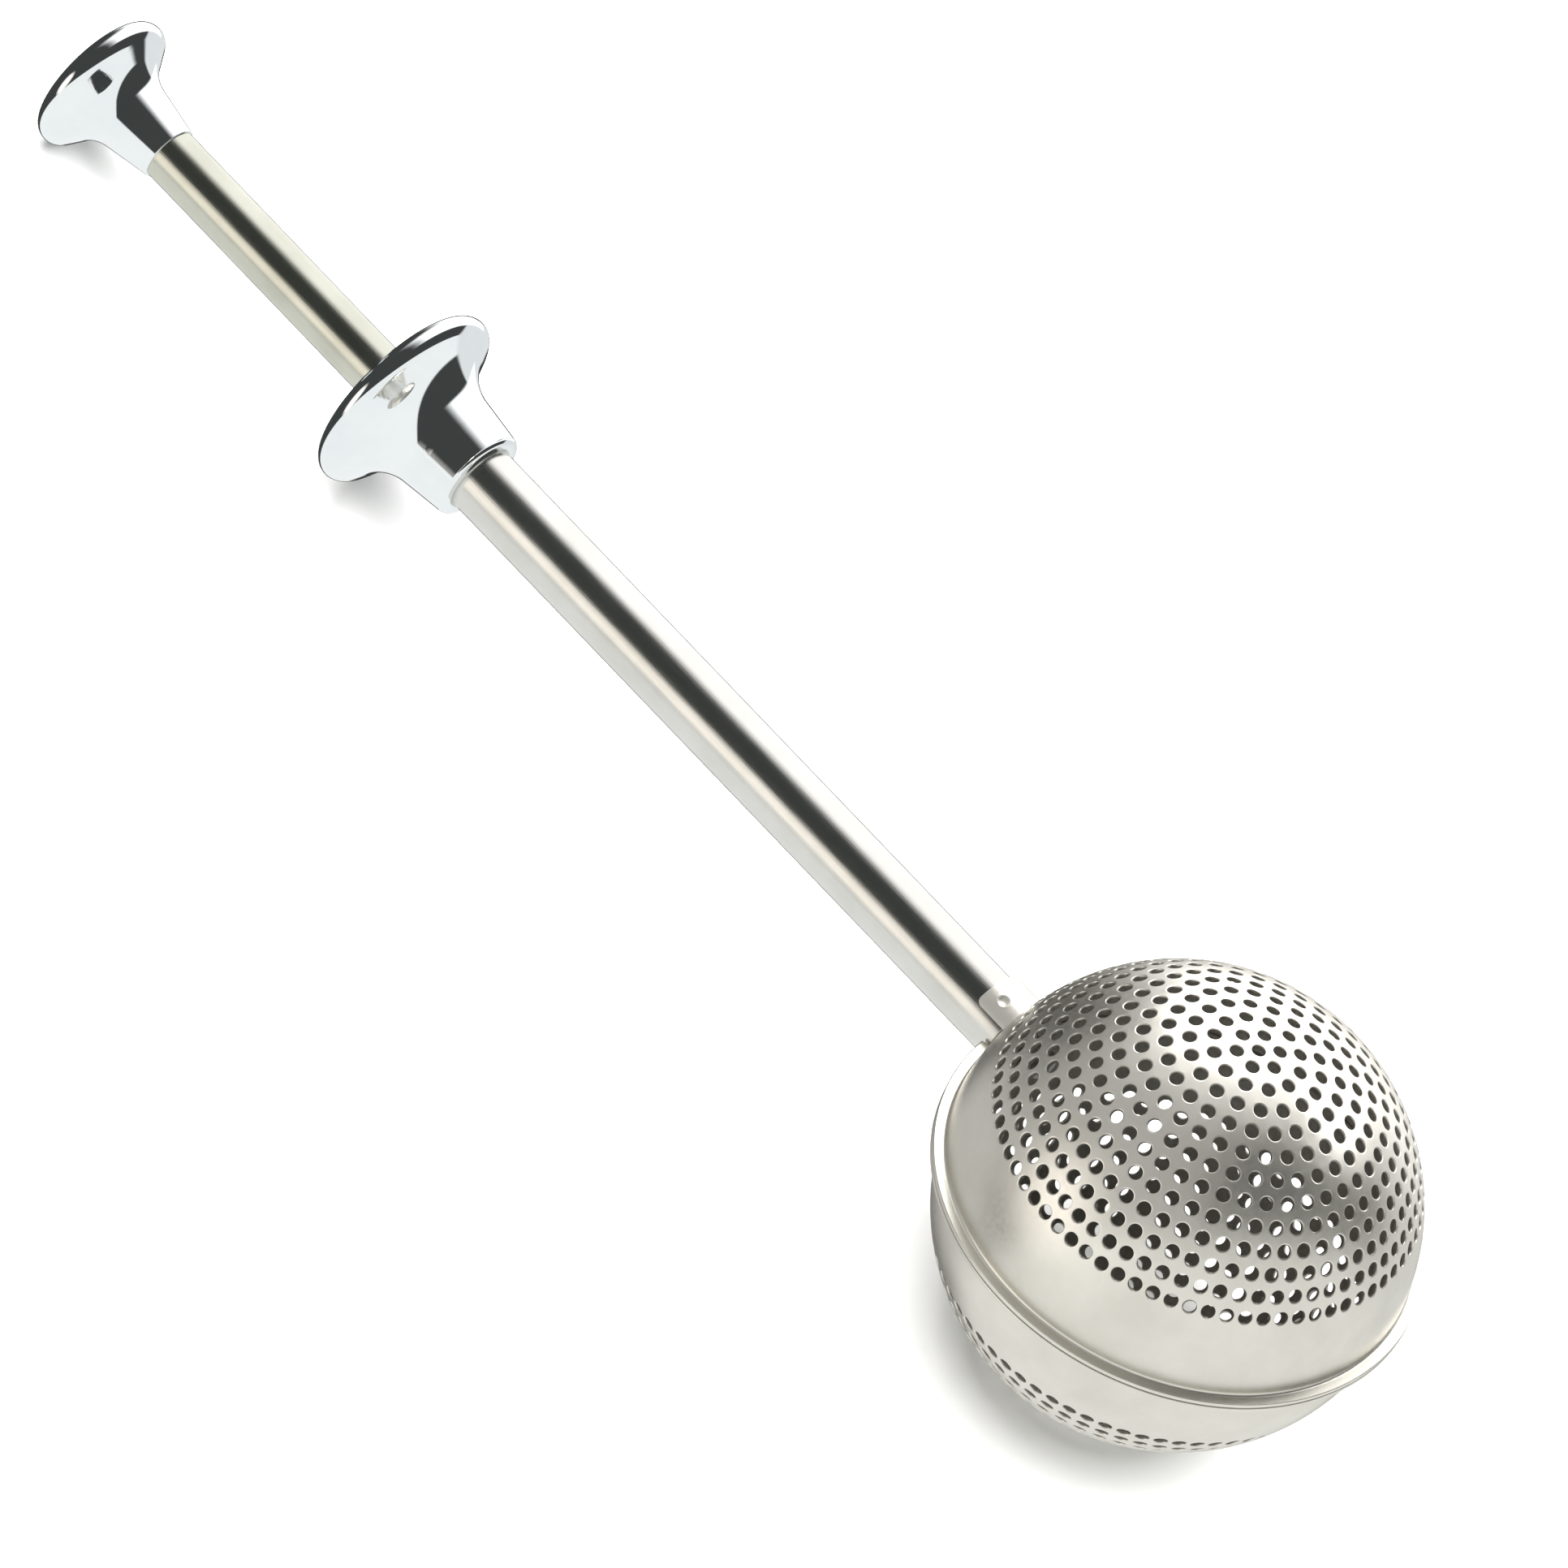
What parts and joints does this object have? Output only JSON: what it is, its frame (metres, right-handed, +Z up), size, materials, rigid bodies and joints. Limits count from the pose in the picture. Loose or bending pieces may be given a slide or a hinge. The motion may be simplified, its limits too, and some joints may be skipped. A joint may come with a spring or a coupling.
{
  "type": "tea infuser",
  "caption": "Push-button tea ball: a sprung plunger in a slim tube slides one perforated hemisphere off the other, with a chrome thumb knob and a chrome finger collar",
  "frame": {"origin": "on the table under the middle of the object's box, as it lies at rest on the ball and on the knob's rim", "axes": "+Z up, +X from the knob towards the ball; the tube runs along X and rises by 5.9 degrees towards the ball; the fixed hemisphere is on top"},
  "size_m": [0.1795, 0.0488, 0.0464],
  "materials": {
    "polished_chrome": "polished",
    "brushed_satin_steel": "satin",
    "satin_pressed_steel": "satin",
    "turned_steel": "satin",
    "spring_steel": "satin"
  },
  "bodies": {
    "handle": {"outer_tube": "brushed_satin_steel", "thumb_collar": "polished_chrome", "guide_bush": "turned_steel", "lower_washer": "turned_steel", "return_spring": "spring_steel", "front_shell": "satin_pressed_steel"},
    "plunger": {"plunger_tube": "brushed_satin_steel", "knob": "polished_chrome", "plunger_plug": "turned_steel", "push_rod": "turned_steel", "upper_washer": "turned_steel", "back_shell": "satin_pressed_steel"}
  },
  "joints": [
    {"name": "plunger_slide", "type": "slide", "parent": "handle", "child": "plunger", "axis": [0.9948, 0, 0.1018], "range_m": [0, 0.03], "stiffness_N_per_m": 150, "springref_m": -0.01, "deforming": ["return_spring"]}
  ]
}
